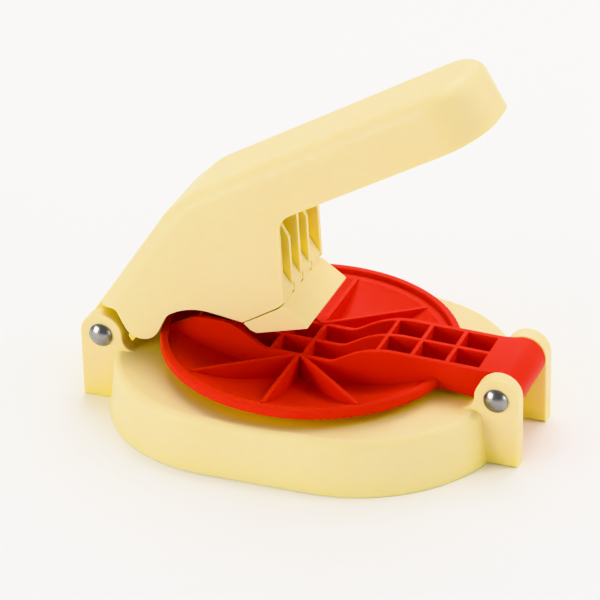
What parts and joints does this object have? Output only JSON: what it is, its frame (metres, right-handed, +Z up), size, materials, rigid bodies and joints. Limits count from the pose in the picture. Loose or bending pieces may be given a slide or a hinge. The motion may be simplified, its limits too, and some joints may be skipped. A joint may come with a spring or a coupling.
{
  "type": "puri press",
  "caption": "Lever-operated flatbread press: round ribbed plate and L-shaped hollow lever, each hinged at one end of a low oval base.",
  "frame": {"origin": "on the table under the middle of the base, halfway between the two hinges", "axes": "+X from the lever's hinge to the plate's hinge, +Y across the press away from the viewer, +Z up"},
  "size_m": [0.2294, 0.164, 0.1944],
  "materials": {
    "cream_plastic": "moulded, soft gloss, pale butter yellow",
    "red_plastic": "moulded, soft gloss, bright red",
    "cap_chrome": "polished domed caps",
    "pin_steel": "drawn steel rod"
  },
  "bodies": {
    "base": {"base": "cream_plastic", "left_pin": "pin_steel", "right_pin": "pin_steel", "left_front_cap": "cap_chrome", "left_rear_cap": "cap_chrome", "right_front_cap": "cap_chrome", "right_rear_cap": "cap_chrome"},
    "lever": {"lever": "cream_plastic", "press_shoe": "cream_plastic"},
    "plate": {"press_plate": "red_plastic"}
  },
  "joints": [
    {"name": "lever_hinge", "type": "hinge", "parent": "base", "child": "lever", "pos_m": [-0.1035, 0, 0.0355], "axis": [0, -1, 0], "range_deg": [-11.5, 125]},
    {"name": "plate_hinge", "type": "hinge", "parent": "base", "child": "plate", "pos_m": [0.1035, 0, 0.0355], "axis": [0, 1, 0], "range_deg": [-2, 180]}
  ],
  "couplings": [
    {"joint": "plate_hinge", "follows": "lever_hinge", "ratio": 0.1739}
  ]
}
